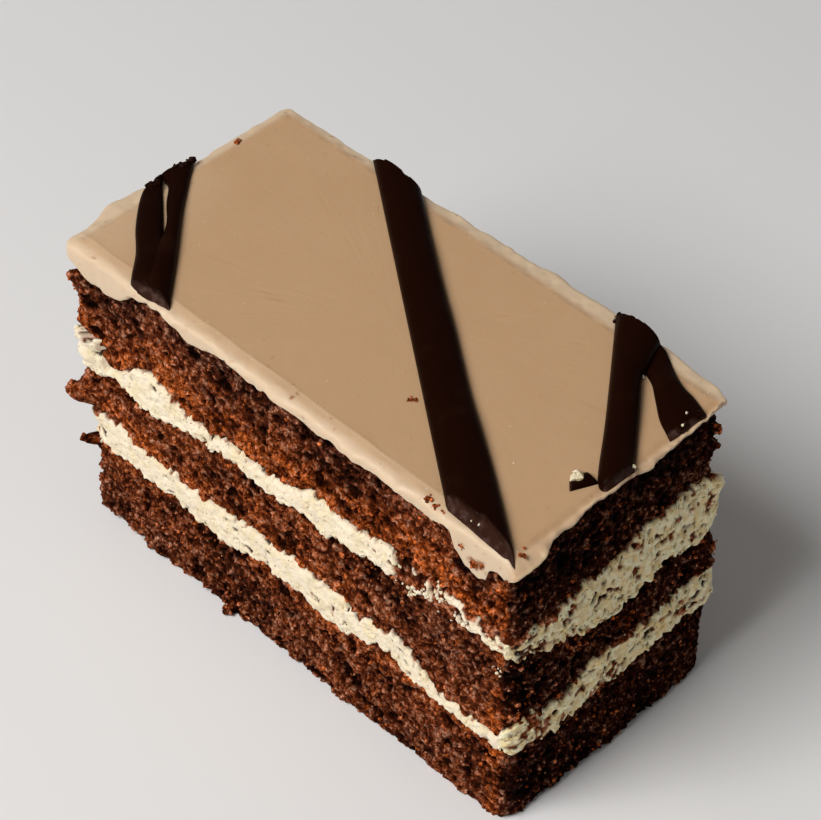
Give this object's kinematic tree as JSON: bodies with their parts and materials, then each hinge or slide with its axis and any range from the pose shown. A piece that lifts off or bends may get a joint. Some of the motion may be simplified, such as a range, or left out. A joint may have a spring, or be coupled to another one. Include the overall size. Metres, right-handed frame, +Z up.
{
  "type": "mocha cake slice",
  "caption": "Rectangular slice of layered chocolate sponge and cream under coffee icing, with dark chocolate rolls lying across its top.",
  "frame": {"origin": "centre of the slice's bounding box at its base, on the surface it rests on", "axes": "+X along the slice's length, +Y across it away from the long cut face that the picture shows, +Z up"},
  "size_m": [0.1018, 0.0509, 0.0625],
  "materials": {
    "sponge": "stands for open, crumbly chocolate sponge: matte, dark brown, with small holes",
    "cream": "stands for soft pale cream, smeared by the knife: satin, ivory, with small pits and crumbs",
    "icing": "stands for smooth coffee icing: satin, slightly translucent, paler at its thin edge",
    "chocolate": "stands for dark chocolate: satin, near black, greyer where it is cut"
  },
  "bodies": {
    "root": {"sponge_bottom": "sponge", "cream_lower": "cream", "sponge_middle": "sponge", "cream_upper": "cream", "sponge_top": "sponge", "icing_top": "icing", "chocolate_band_centre": "chocolate", "chocolate_band_left": "chocolate", "chocolate_band_right": "chocolate", "chocolate_shard": "chocolate"}
  },
  "joints": []
}
